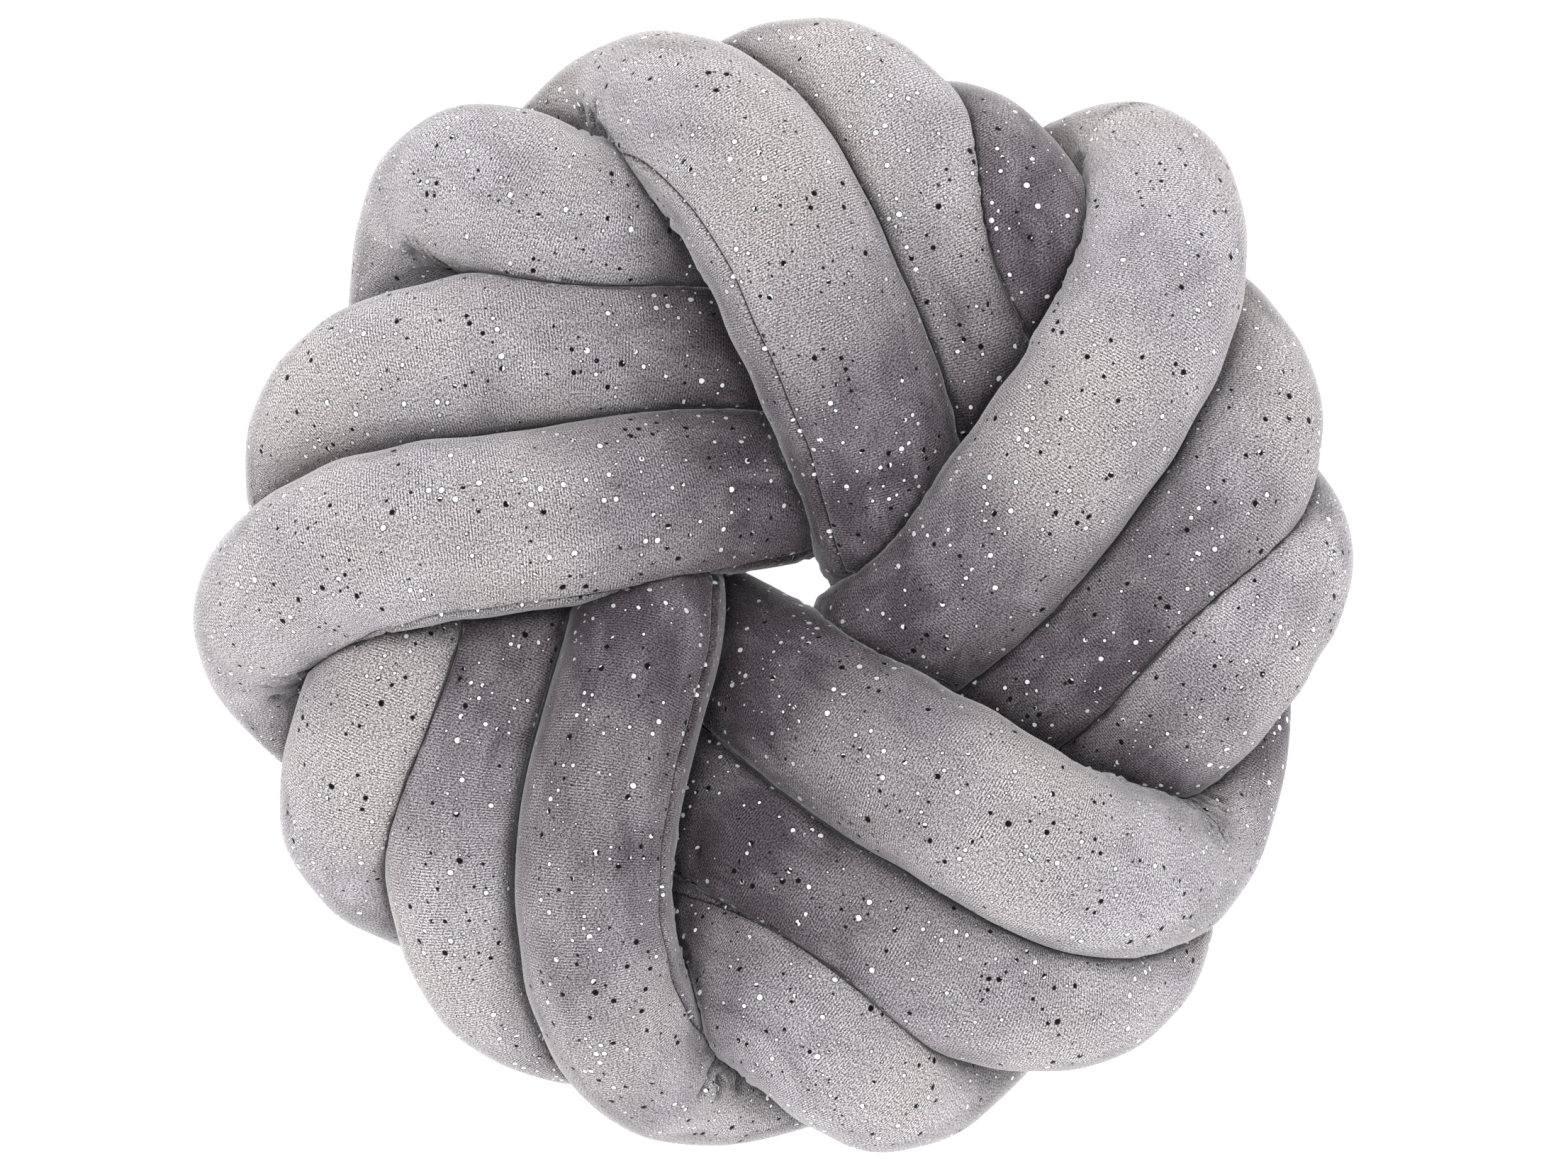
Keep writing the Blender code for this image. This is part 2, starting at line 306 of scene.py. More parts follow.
# Where the seam lies on the face, in degrees from straight up towards the side that faces the centre.
SEAM_ROLL = {
    ("inner", "right"): 125,
    ("outer", "low_left"): 120,
    ("inner", "top"): 50,
    ("outer", "low_right"): 38,
    ("inner", "left"): 70,
    ("outer", "right"): 115,
    ("inner", "low_left"): 58,
    ("outer", "top"): 118,
    ("inner", "low_right"): 112,
    ("outer", "left"): 120,
    ("middle", "right"): 150,
    ("middle", "top"): 150,
    ("middle", "left"): 150,
    ("middle", "low_left"): 150,
    ("middle", "low_right"): 150,
}
SEAM_HELD = slice(1, -2)  # the stations of a pass along which that angle holds
PRESS_REACH = 0.25  # the plane halfway to a neighbour presses from this share of a radius outside the tube
SEAM_SINK = 0.9 * MM  # the stitches pull the cloth in this far
SEAM_HALF_WIDTH = 0.9 * MM
SEAM_LIP = 0.3 * MM  # the turned-in allowance lifts the cloth beside it
SEAM_LIP_FROM_SEAM = 2.6 * MM
SEAM_LIP_HALF_WIDTH = 1.6 * MM
SEAM_PRESSED_FLAT = 0.6  # share of the seam's relief that goes where strands press
LUMP = 0.25 * MM  # unevenness of the stuffing
LUMP_LENGTH = 50.0 * MM
LUMPS_ROUND = 0.6  # there are fewer of them round the tube than along it
LUMPS_PRESSED_FLAT = 0.8
WAVES = 9  # sines that a random unevenness is made of
PUCKER = 4.5 * MM  # height of the puckers inside a fold
PUCKER_LENGTH = 9.0 * MM  # of cloth, from one pucker to the next
PUCKER_MEAN = 0.6  # puckers differ in height, round this share of it
PUCKER_SPREAD = 0.5
PUCKER_SPREAD_LENGTH = 17.0 * MM
PUCKER_WANDER = 0.35  # of a pucker's length, that it strays to either side
PUCKER_WANDER_LENGTH = 30.0 * MM
PUCKER_SUNK = 0.65  # share of a pucker's height below the smooth form
PUCKER_PRESSED_IN = 0.35  # and how much more where strands press
PUCKERS_FROM = 0.08  # share of the tube's own radius that a bend must reach before the cloth puckers
PUCKERS_GROW = 0.35  # and how much further it goes until they are full
BEND_SMOOTHING = 3  # rounds of it, so that puckers fade in along the tube
SWELLING_ROUNDS = 3  # of pushing out, as one round leaves some room where only one side could move
RAY_START = 0.05 * MM  # outside its own cloth, so that a ray doesn't meet that
FAR_OFF = 12.0 * MM  # other cloth further off than this doesn't matter
OUTLOOKS = 8  # slanting directions in which a point looks up for strands over it
OUTLOOK_START = 1.0 * MM
OUTLOOK_LENGTH = 30.0 * MM
FACING_UP = 0.4  # steeper cloth than this counts less
CM_IN_METRE = 100  # the flat cloth, which is the UV map, is in centimetres

column_offset = np.array(
    [0, *SEAM_COLUMNS]
    + list(np.linspace(SEAM_COLUMNS[-1], TUBE_GIRTH / MM - SEAM_COLUMNS[-1], PLAIN_COLUMNS + 2)[1:-1])
    + [TUBE_GIRTH / MM - offset for offset in reversed(SEAM_COLUMNS)]
)
column_offset *= MM
COLUMNS = len(column_offset)


def shared_along(line, stations, values):
    """The stations' values, spread evenly over the points of the closed line between them."""
    places = [int(np.argmin(((line - station) ** 2).sum(axis=1))) for station in stations]
    return np.interp(np.arange(len(line)), places, values, period=len(line))


def seam_roll(line, frames, faces, stations, strands):
    """Angle of the seam in the travelling frames at each point: held along each face pass, eased between."""
    tangent, across, beside = frames
    places = []
    angles = []
    for on_face, (strand, band) in zip(faces, ring_passes(strands)):
        roll = np.radians(SEAM_ROLL[strand, BANDS[band]])
        for station in on_face[SEAM_HELD]:
            place = int(np.argmin(((line - stations[station]) ** 2).sum(axis=1)))
            forward = tangent[place]
            up = np.array([0, 0, 1.0]) - forward * forward[2]
            up /= np.linalg.norm(up)
            side = np.cross(forward, up)
            side *= -np.sign(side.dot(line[place] * (1, 1, 0)))
            seam = up * np.cos(roll) + side * np.sin(roll)
            places.append(place)
            angles.append(np.arctan2(seam.dot(beside[place]), seam.dot(across[place])))
    angles = np.unwrap(np.array(angles + angles[:1]))
    places = np.array(places + [places[0] + len(line)])
    count = np.arange(len(line))
    late = np.where(count < places[0], count + len(line), count)
    span = np.clip(np.searchsorted(places, late, side="right") - 1, 0, len(places) - 2)
    share = eased((late - places[span]) / (places[span + 1] - places[span]))
    return angles[span] + (angles[span + 1] - angles[span]) * share


def waves(u, v, length, wave, seed, across=1.0):
    """Smooth random field on the cloth with this wavelength, closing on itself along and around the tube."""
    random = np.random.default_rng(seed)
    total = np.zeros(np.broadcast(u, v).shape)
    for _ in range(WAVES):
        turns_along = round(random.normal(0, 1) * length / wave)
        turns_round = round(random.normal(0, 1) * TUBE_GIRTH / wave * across)
        phase = random.uniform(0, 2 * np.pi)
        turns = u / length * turns_along + v / TUBE_GIRTH * turns_round
        total = total + np.sin(2 * np.pi * turns + phase)
    return total / np.sqrt(WAVES / 2)


def relief(u, v, length, inside, pressure, seed):
    """Heights over the smooth tube: lumps of stuffing, puckers inside the folds, and the drawn-in seam."""
    for _ in range(BEND_SMOOTHING):
        inside = (np.roll(inside, 1, axis=0) + inside + np.roll(inside, -1, axis=0)) / 3
    slack = eased((inside - PUCKERS_FROM) / PUCKERS_GROW)
    free_cloth = 1 - LUMPS_PRESSED_FLAT * pressure
    lumps = waves(u, v, length, LUMP_LENGTH, seed, across=LUMPS_ROUND) * LUMP * free_cloth
    fan = u / PUCKER_LENGTH + PUCKER_WANDER * waves(u, v, length, PUCKER_WANDER_LENGTH, seed + 1)
    height = PUCKER_MEAN + PUCKER_SPREAD * waves(u, v, length, PUCKER_SPREAD_LENGTH, seed + 2)
    rise = np.abs(np.sin(np.pi * fan)) - PUCKER_SUNK - PUCKER_PRESSED_IN * pressure
    puckers = rise * height * slack * PUCKER
    from_seam = np.minimum(v, TUBE_GIRTH - v)
    seam = SEAM_LIP * np.exp(-(((from_seam - SEAM_LIP_FROM_SEAM) / SEAM_LIP_HALF_WIDTH) ** 2))
    seam = seam - SEAM_SINK * np.exp(-((from_seam / SEAM_HALF_WIDTH) ** 2))
    return lumps + puckers + seam * (1 - SEAM_PRESSED_FLAT * pressure)


def sewn_sleeve(strands, line, other_line, stations, painted_lightness, widths, faces, seed):
    """The cloth of one tube, before it swells.

    Gives its grid of points, each point's way out of the tube and room to swell, and then, for each row
    of points, its place along the flat cloth, that cloth's length, and its share from painted shade to
    painted light.
    """
    frames = travelling_frames(line)
    tangent, across, beside = frames
    bend = bends(line)
    sharpness = np.linalg.norm(bend, axis=1) * TUBE_HALF_WIDTH
    density = 1 + FOLD_CROWDING * sharpness
    spread = np.r_[0, np.cumsum(density)] * CURVE_STEP
    sections = round(len(line) * CURVE_STEP / SECTION_STEP)
    places = np.searchsorted(spread, np.arange(sections) * spread[-1] / sections, side="right") - 1
    cloth_along = np.r_[0, np.cumsum(1 + np.minimum(sharpness, MOST_STRETCHED))] * CURVE_STEP
    roll = seam_roll(line, frames, faces, stations, strands)
    half_width = TUBE_HALF_WIDTH * shared_along(line, stations, widths)
    own = np.arange(0, len(line), NEIGHBOUR_STEP)
    others = other_line[::NEIGHBOUR_STEP]
    turn = column_offset / TUBE_GIRTH * 2 * np.pi
    grid = np.zeros((sections, COLUMNS, 3))
    outwards = np.zeros_like(grid)
    inside = np.zeros((sections, COLUMNS))
    pressure = np.zeros((sections, COLUMNS))
    room = np.zeros((sections, COLUMNS))
    for row, place in enumerate(places):
        angle = turn + roll[place]
        outward = np.cos(angle)[:, None] * across[place] + np.sin(angle)[:, None] * beside[place]
        apart = np.abs(own - place)
        apart = np.minimum(apart, len(line) - apart) * CURVE_STEP
        neighbours = np.concatenate([others, line[own[apart > SAME_STRAND]]])
        fold = line[own[(apart > SAME_PLACE) & (apart <= SAME_STRAND)]]
        pressed = halfway(outward, neighbours - line[place], UPPER_KEEPS) - HALF_GAP
        folded = halfway(outward, fold - line[place]) * FOLD_SHARE
        upright = outward[:, 2] ** 2
        free = 1 / np.sqrt((1 - upright) / half_width[place] ** 2 + upright / TUBE_HALF_HEIGHT**2)
        limits = np.stack([free, folded, pressed]) ** -SQUARENESS
        radius = limits.sum(axis=0) ** (-1 / SQUARENESS)
        grid[row] = line[place] + outward * radius[:, None]
        outwards[row] = outward
        inside[row] = outward @ bend[place] * TUBE_HALF_WIDTH
        pressure[row] = np.clip(1 + PRESS_REACH - pressed / free, 0, PRESS_REACH) / PRESS_REACH
        room[row] = limits[:2].sum(axis=0) ** (-1 / SQUARENESS) - radius
    along = cloth_along[places]
    length = cloth_along[-1]
    heights = relief(along[:, None], column_offset[None, :], length, inside, pressure, seed)
    grid += outwards * heights[:, :, None]
    return grid, outwards, room, along, length, shared_along(line, stations, painted_lightness)[places]


def ring_faces(grid):
    """The quads of a closed ring of cloth, as places in the grid's list of points."""
    index = np.arange(grid[..., 0].size).reshape(grid.shape[:2])
    right = np.roll(index, -1, axis=1)
    ahead = np.roll(index, -1, axis=0)
    return np.stack([index, right, np.roll(right, -1, axis=0), ahead], axis=-1).reshape(-1, 4)


def as_one(grids):
    """All the cloth as one tree of faces that a ray can be sent against."""
    points = np.concatenate([grid.reshape(-1, 3) for grid in grids])
    faces = np.concatenate([ring_faces(grids[0]), ring_faces(grids[1]) + grids[0][..., 0].size])
    return BVHTree.FromPolygons(points.tolist(), faces.tolist())


def clearances(grids, outwards, asked):
    """How far each asked point of the cloths is from other cloth, straight out from its tube."""
    cloths = as_one(grids)
    found = []
    for grid, outward, wanted in zip(grids, outwards, asked):
        clear = np.full(grid.shape[:2], FAR_OFF)
        for row, column in zip(*np.nonzero(wanted)):
            away = Vector(outward[row, column])
            start = Vector(grid[row, column]) + away * RAY_START
            reached = cloths.ray_cast(start, away, FAR_OFF)[3]
            if reached is not None:
                clear[row, column] = reached + RAY_START
        found.append(clear)
    return found


# This feeds the painted shadow beside strands that lie higher.
def lain_over(grids, outwards):
    """How much of each point's slanting outlook other strands take up, the near ones most."""
    cloths = as_one(grids)
    angles = np.arange(OUTLOOKS) * 2 * np.pi / OUTLOOKS
    slants = [Vector((np.cos(angle), np.sin(angle), 1)).normalized() for angle in angles]
    found = []
    for grid, outward in zip(grids, outwards):
        taken = np.zeros(grid.shape[:2])
        for row, column in zip(*np.nonzero(outward[:, :, 2] > 0)):
            start = Vector(grid[row, column] + outward[row, column] * OUTLOOK_START)
            hits = [cloths.ray_cast(start, slant, OUTLOOK_LENGTH)[3] for slant in slants]
            taken[row, column] = sum(1 - hit / OUTLOOK_LENGTH for hit in hits if hit is not None)
        found.append(taken / OUTLOOKS * np.clip(outward[:, :, 2] / FACING_UP, 0, 1))
    return found


def swollen(grids, outwards, room):
    """The stuffing pushes pressed cloth out into whatever room its neighbours leave, until they touch.

    Gives the new grids, how far each point is from other cloth, and how much other strands lie over it.
    """
    grids = [grid.copy() for grid in grids]
    room = [left.copy() for left in room]
    for _ in range(SWELLING_ROUNDS):
        clear = clearances(grids, outwards, [left > RAY_START for left in room])
        for grid, outward, left, gap in zip(grids, outwards, room, clear):
            shift = np.clip(gap / 2 - HALF_GAP, 0, left)
            around = [np.roll(shift, step, axis=axis) for axis in (0, 1) for step in (-1, 0, 1)]
            shift = np.min(around, axis=0)
            left -= shift
            grid += outward * shift[:, :, None]
    clear = clearances(grids, outwards, [grid[..., 0] < np.inf for grid in grids])
    return grids, clear, lain_over(grids, outwards)


def on_the_ground(grids):
    """All tubes set on the ground plane: undersides pressed flat, and the box centred on the origin."""
    points = np.concatenate([grid.reshape(-1, 3) for grid in grids])
    ground = points[:, 2].min() + FLAT_DEPTH
    middle = (points.min(axis=0) + points.max(axis=0)) / 2
    settled = []
    for grid in grids:
        placed = grid - (middle[0], middle[1], ground)
        placed[:, :, 2] = np.maximum(placed[:, :, 2], 0)
        settled.append(placed)
    return settled


def cloth_mesh(name, grid, clear, taken, along, length, painted_lightness):
    """One closed ring of cloth through the grid, with its flat cloth as a UV map, in centimetres."""
    rows, columns = grid.shape[:2]
    mesh = bpy.data.meshes.new(name)
    mesh.from_pydata(grid.reshape(-1, 3).tolist(), [], ring_faces(grid).tolist())
    u0 = np.repeat(along[:, None], columns, axis=1)
    u1 = np.repeat(np.r_[along[1:], length][:, None], columns, axis=1)
    v0 = np.repeat(column_offset[None, :], rows, axis=0)
    v1 = np.repeat(np.r_[column_offset[1:], TUBE_GIRTH][None, :], rows, axis=0)
    corners = np.stack(
        [np.stack([u0, v0], -1), np.stack([u0, v1], -1), np.stack([u1, v1], -1), np.stack([u1, v0], -1)],
        axis=2,
    )
    layer = mesh.uv_layers.new(name="cloth")
    layer.uv.foreach_set("vector", (corners * CM_IN_METRE).astype(np.float32).ravel())
    measures = {
        "painted_shade_to_light": np.repeat(painted_lightness, columns),
        "mm_to_other_cloth": clear / MM,
        "overlooked_by_others": taken,
    }
    for measure, values in measures.items():
        attribute = mesh.attributes.new(measure, "FLOAT", "POINT")
        attribute.data.foreach_set("value", values.ravel().astype(np.float32))
    mesh.shade_smooth()
    mesh.update()
    piece = bpy.data.objects.new(name, mesh)
    bpy.context.scene.collection.objects.link(piece)
    return piece


long_stations, *long_rest = ring_stations(("inner", "outer"))
short_stations, *short_rest = ring_stations(("middle",))
long_line = centreline(long_stations)
short_line = centreline(short_stations)
long_sleeve = sewn_sleeve(("inner", "outer"), long_line, short_line, long_stations, *long_rest, seed=11)
short_sleeve = sewn_sleeve(("middle",), short_line, long_line, short_stations, *short_rest, seed=23)
grids, clear, taken = swollen(*zip(long_sleeve[:3], short_sleeve[:3]))
long_grid, short_grid = on_the_ground(grids)

# ------------------------------------------------------------------------------------ the velvet
# Short-pile knitted velvet, brushed by hand in soft random patches. Painted shade makes it darker and
# cooler where it dives, and painted light makes it paler and warmer at the rim. A painted sheen makes it
# pale on the flanks beside other strands, and painted shadow makes it black where strands squeeze it and
# dimmer beside a strand that lies over it. The knit shows as fine broken ribs across the tube. Round foil
# dots pressed into the pile gleam silver, partly as a painted gleam, or, turned away, are painted black as a
# dark reflection.
MM_IN_CM = 10  # sizes are in mm, random patterns in waves per cm of cloth


def node(tree, kind, *inputs, named=None, **settings):
    """Adds a node and gives its outputs. An input takes a number, a colour or another node's output."""
    added = tree.nodes.new("ShaderNode" + kind)
    for name, value in settings.items():
        setattr(added, name, value)
    for key, value in [*enumerate(inputs), *(named or {}).items()]:
        if isinstance(value, bpy.types.NodeSocket):
            tree.links.new(value, added.inputs[key])
        else:
            added.inputs[key].default_value = value
    return added.outputs


def from_hex(code):
    """An sRGB hex colour as linear RGBA."""
    shares = [int(code[i : i + 2], 16) / 255 for i in (1, 3, 5)]
    linear = [c / 12.92 if c <= 0.04045 else ((c + 0.055) / 1.055) ** 2.4 for c in shares]
    return (*linear, 1.0)


# Colours of the pile. Deep is the painted shade that darkens it at the dive, open is the painted light that
# pales it at the rim and in random patches, and warm is a painted warm light at the rim.
PILE_DEEP_AND_SHADED = "#524a50"
PILE_OPEN_AND_LIT = "#aeaaad"
PILE_WARM_AND_LIT = "#b2aca8"
CLOUDS = 0.34  # 30 mm patches in which the pile lies alike
BRUSHED = 1.0  # 10 mm strokes of a hand,
STROKE_STRETCH = (0.55, 1.0, 1.0)  # longer along the tube than round it
CLOUDS_OPEN, BRUSHED_OPEN = 0.7, 0.9  # how much either opens the pile, while the painted light at the rim counts as one
LIT_AND_OPEN_FROM, LIT_AND_OPEN_FULLY = 0.72, 1.9
WARM_PATCHES = 0.16  # 60 mm
WARM_FROM, WARM_FULLY = 0.35, 0.7
WARMEST = 0.75  # share of the warm colour


def brushed_pile_with_painted_light(tree, cloth):
    """Colour of the pile: painted shade, deep and cool, where it dives, and painted light, open and warm, at
    the rim, over soft random brushed patches.
    """
    # painted shade at the dive, rising to painted light at the rim
    outer = node(tree, "Attribute", attribute_name="painted_shade_to_light")["Fac"]
    clouds = node(tree, "TexNoise", named={"Vector": cloth, "Scale": CLOUDS, "Detail": 2.0})[0]
    strokes = node(tree, "VectorMath", cloth, STROKE_STRETCH, operation="MULTIPLY")[0]
    strokes = {"Vector": strokes, "Scale": BRUSHED, "Detail": 3.0, "Distortion": 0.8}
    brushed = node(tree, "TexNoise", named=strokes)[0]
    lit_and_open = node(tree, "Math", clouds, CLOUDS_OPEN, outer, operation="MULTIPLY_ADD")[0]
    lit_and_open = node(tree, "Math", brushed, BRUSHED_OPEN, lit_and_open, operation="MULTIPLY_ADD")[0]
    lit_and_open = node(tree, "MapRange", lit_and_open, LIT_AND_OPEN_FROM, LIT_AND_OPEN_FULLY, 0.0, 1.0)[0]
    deep_shaded_and_open_lit = {6: from_hex(PILE_DEEP_AND_SHADED), 7: from_hex(PILE_OPEN_AND_LIT)}
    pile = node(tree, "Mix", lit_and_open, named=deep_shaded_and_open_lit, data_type="RGBA")[2]
    # painted warm light, in 60 mm patches, only towards the rim
    painted_warm_light = node(tree, "TexNoise", named={"Vector": cloth, "Scale": WARM_PATCHES, "Detail": 1.0})[0]
    warm = (WARM_FROM, WARM_FULLY, 0.0, WARMEST)
    painted_warm_light = node(tree, "MapRange", painted_warm_light, *warm, interpolation_type="SMOOTHSTEP")[0]
    painted_warm_light = node(tree, "Math", painted_warm_light, outer, operation="MULTIPLY")[0]
    return node(tree, "Mix", painted_warm_light, named={6: pile, 7: from_hex(PILE_WARM_AND_LIT)}, data_type="RGBA")[2]


PAINTED_SHEEN_BY_STRANDS = 1.35  # times as bright where two strands come close: a painted sheen on the flanks,
PAINTED_SHEEN_FROM, PAINTED_SHEEN_FULLY = 7.0, 1.5  # by how far off the next one is
PAINTED_CONTACT_SHADOW = 0.06  # times as bright where they touch: a painted contact shadow
CONTACT_SHADOW_FROM, CONTACT_SHADOW_FULLY = 1.6, 0.5
PAINTED_SHADOW_UNDER_STRANDS = 0.36  # times as bright right beside a strand that lies higher: a painted shadow,
SHADOW_UNDER_FROM, SHADOW_UNDER_FULLY = 0.05, 0.4  # by the share of the outlook that it takes up


def painted_sheen_and_shadow_by_strands(tree):
    """Painted light and shade on the pile beside other strands: a painted sheen where they come close, and a
    painted shadow where they touch and where one lies over it.
    """
    apart = node(tree, "Attribute", attribute_name="mm_to_other_cloth")["Fac"]
    painted_sheen = node(tree, "MapRange", apart, PAINTED_SHEEN_FROM, PAINTED_SHEEN_FULLY, 1.0, PAINTED_SHEEN_BY_STRANDS)[0]
    contact_shadow = (CONTACT_SHADOW_FROM, CONTACT_SHADOW_FULLY, 1.0, PAINTED_CONTACT_SHADOW)
    contact_shadow = node(tree, "MapRange", apart, *contact_shadow, interpolation_type="SMOOTHSTEP")[0]
    taken_up = node(tree, "Attribute", attribute_name="overlooked_by_others")["Fac"]
    painted_shadow_under = node(tree, "MapRange", taken_up, SHADOW_UNDER_FROM, SHADOW_UNDER_FULLY, 1.0, PAINTED_SHADOW_UNDER_STRANDS)[0]
    sheen_and_shadow = node(tree, "Math", painted_sheen, contact_shadow, operation="MULTIPLY")[0]
    sheen_and_shadow = node(tree, "Math", sheen_and_shadow, painted_shadow_under, operation="MULTIPLY")[0]
    return node(tree, "CombineColor", sheen_and_shadow, sheen_and_shadow, sheen_and_shadow)[0]


RIB_PITCH = 0.86
SWAY = 2.2  # the ribs aren't straight: every 5 mm they sway
SWAY_BY = 7.0  # radians of a rib's wave
LOOP_PITCH = 1.1  # along a rib
LOOP_OFFSET = 0.5  # of a loop, from one rib to the next
LOOP_DEPTH = 0.45
RIBS_SHOW = 1.1  # in some places of 10 mm more than in others
RIBS_SHOW_FROM, RIBS_SHOW_FULLY = 0.35, 0.65
RIBS_SHOW_LEAST = 0.25
LOOPS = (26.0, 13.0, 1.0)  # 0.4 mm along the tube, 0.8 mm round it
GRAIN = 22.0  # tufts of the pile, under half a mm
GRAIN_ROUGHNESS = 0.7


def knit(tree, cloth, u, v):
    """The ribs across the tube, from -1 to 1, and the loops and the pile's grain, from 0 to 1."""
    sway = node(tree, "TexNoise", named={"Vector": cloth, "Scale": SWAY, "Detail": 2.0})[0]
    turns = node(tree, "Math", u, 2 * np.pi * MM_IN_CM / RIB_PITCH, operation="MULTIPLY")[0]
    turns = node(tree, "Math", sway, SWAY_BY, turns, operation="MULTIPLY_ADD")[0]
    rib = node(tree, "Math", turns, operation="SINE")[0]
    rows = node(tree, "Math", v, 2 * np.pi * MM_IN_CM / LOOP_PITCH, operation="MULTIPLY")[0]
    rows = node(tree, "Math", turns, LOOP_OFFSET, rows, operation="MULTIPLY_ADD")[0]
    rows = node(tree, "Math", rows, operation="SINE")[0]
    rows = node(tree, "Math", rows, LOOP_DEPTH, 1 - LOOP_DEPTH, operation="MULTIPLY_ADD")[0]
    rib = node(tree, "Math", rib, rows, operation="MULTIPLY")[0]
    shows = node(tree, "TexNoise", named={"Vector": cloth, "Scale": RIBS_SHOW, "Detail": 1.0})[0]
    showing = (RIBS_SHOW_FROM, RIBS_SHOW_FULLY, RIBS_SHOW_LEAST, 1.0)
    shows = node(tree, "MapRange", shows, *showing, interpolation_type="SMOOTHSTEP")[0]
    rib = node(tree, "Math", rib, shows, operation="MULTIPLY")[0]
    loops = node(tree, "VectorMath", cloth, LOOPS, operation="MULTIPLY")[0]
    loops = node(tree, "TexNoise", named={"Vector": loops, "Scale": 1.0, "Detail": 2.0})[0]
    tufts = {"Vector": cloth, "Scale": GRAIN, "Detail": 2.0, "Roughness": GRAIN_ROUGHNESS}
    return rib, loops, node(tree, "TexNoise", named=tufts)[0]


DOT_CELL = 3.4  # the cloth is parted into cells of about this size, with one dot in each at most
DOT_STRAYS = 0.9  # share of its cell in which the dot may lie
DOT_SMALLEST = 0.27  # radius
DOT_GROWTH = 0.6  # the largest are this much larger,
DOT_SIZES = 2.0  # and this power of a random number makes most of them small
SHADED_DOT_SMALLER = 0.13  # because the pile closes over a dot that it turns to the shade
DOT_EDGE = (-0.04, 0.02)  # past the radius, where the foil ends
DOT_RIM = (0.12, 0.3)  # and where the pile pressed in round it does, darkened there by painted shade
DOT_WOBBLE = 7.0  # its outline isn't quite round
DOT_WOBBLES_BY = 0.35
DOT_CROWDS = 0.8  # 12 mm patches with more dots or fewer
CROWD_FROM, CROWD_FULLY = 0.33, 0.68
FEWEST_KEPT, MOST_KEPT = 0.08, 0.64  # share of the cells that have a dot
SHADED_PATCHES = 0.33  # 30 mm patches with more or fewer dots turned to the shade
SHADED_FROM, SHADED_FULLY = 0.38, 0.62
FEWEST_SHADED, MOST_SHADED = 0.1, 0.65  # share of the dots
DOT_CURL = 6.0  # a large dot isn't flat, and part of it may lie in the shade
DOT_CURLS_BY = 1.2


def foil_dots(tree, cloth):
    """Where the foil is, where the pile is pressed in round it, and what lies turned to the shade."""
    wobble = node(tree, "TexNoise", named={"Vector": cloth, "Scale": DOT_WOBBLE, "Detail": 1.0})["Color"]
    wobble = node(tree, "VectorMath", wobble, (0.5, 0.5, 0.5), operation="SUBTRACT")[0]
    wobbles_by = (DOT_WOBBLES_BY / MM_IN_CM, DOT_WOBBLES_BY / MM_IN_CM, 0.0)
    wobble = node(tree, "VectorMath", wobble, wobbles_by, cloth, operation="MULTIPLY_ADD")[0]
    cells = {"Vector": wobble, "Scale": MM_IN_CM / DOT_CELL, "Randomness": DOT_STRAYS}
    cells = node(tree, "TexVoronoi", named=cells, voronoi_dimensions="2D")
    size_chance, kept_chance, turn_chance = node(tree, "SeparateColor", cells["Color"])
    crowd = node(tree, "TexNoise", named={"Vector": cloth, "Scale": DOT_CROWDS, "Detail": 1.0})[0]
    crowd = node(tree, "MapRange", crowd, CROWD_FROM, CROWD_FULLY, FEWEST_KEPT, MOST_KEPT)[0]
    kept = node(tree, "Math", kept_chance, crowd, operation="LESS_THAN")[0]
    # dots turned to the shade are painted black, as a painted dark reflection
    shaded = node(tree, "TexNoise", named={"Vector": cloth, "Scale": SHADED_PATCHES, "Detail": 1.0})[0]
    shaded = node(tree, "MapRange", shaded, SHADED_FROM, SHADED_FULLY, FEWEST_SHADED, MOST_SHADED)[0]
    turned = node(tree, "TexNoise", named={"Vector": cloth, "Scale": DOT_CURL, "Detail": 0.0})[0]
    turned = node(tree, "Math", turned, DOT_CURLS_BY, -DOT_CURLS_BY / 2, operation="MULTIPLY_ADD")[0]
    turned = node(tree, "Math", turn_chance, turned, operation="ADD")[0]
    shaded = node(tree, "Math", turned, shaded, operation="LESS_THAN")[0]
    radius = node(tree, "Math", size_chance, DOT_SIZES, operation="POWER")[0]
    radius = node(tree, "Math", radius, DOT_GROWTH, DOT_SMALLEST, operation="MULTIPLY_ADD")[0]
    radius = node(tree, "Math", shaded, -SHADED_DOT_SMALLER, radius, operation="MULTIPLY_ADD")[0]
    past_radius = node(tree, "Math", cells["Distance"], DOT_CELL, operation="MULTIPLY")[0]
    past_radius = node(tree, "Math", past_radius, radius, operation="SUBTRACT")[0]
    foil = node(tree, "MapRange", past_radius, *DOT_EDGE, 1.0, 0.0)[0]
    foil = node(tree, "Math", foil, kept, operation="MULTIPLY")[0]
    rim = node(tree, "MapRange", past_radius, *DOT_RIM, 1.0, 0.0)[0]
    return foil, node(tree, "Math", rim, kept, operation="MULTIPLY")[0], shaded


PILE_SHEEN = "#f2eff0"
SHEEN, SHEEN_ROUGHNESS = 0.8, 0.25
PILE_SPECULAR = 0.2
PILE_ROUGHNESS, FOIL_ROUGHNESS = 0.85, 0.3
FOIL_METAL = 0.35  # the foil is thin and scuffed; the rest of its gleam is painted into its white colour
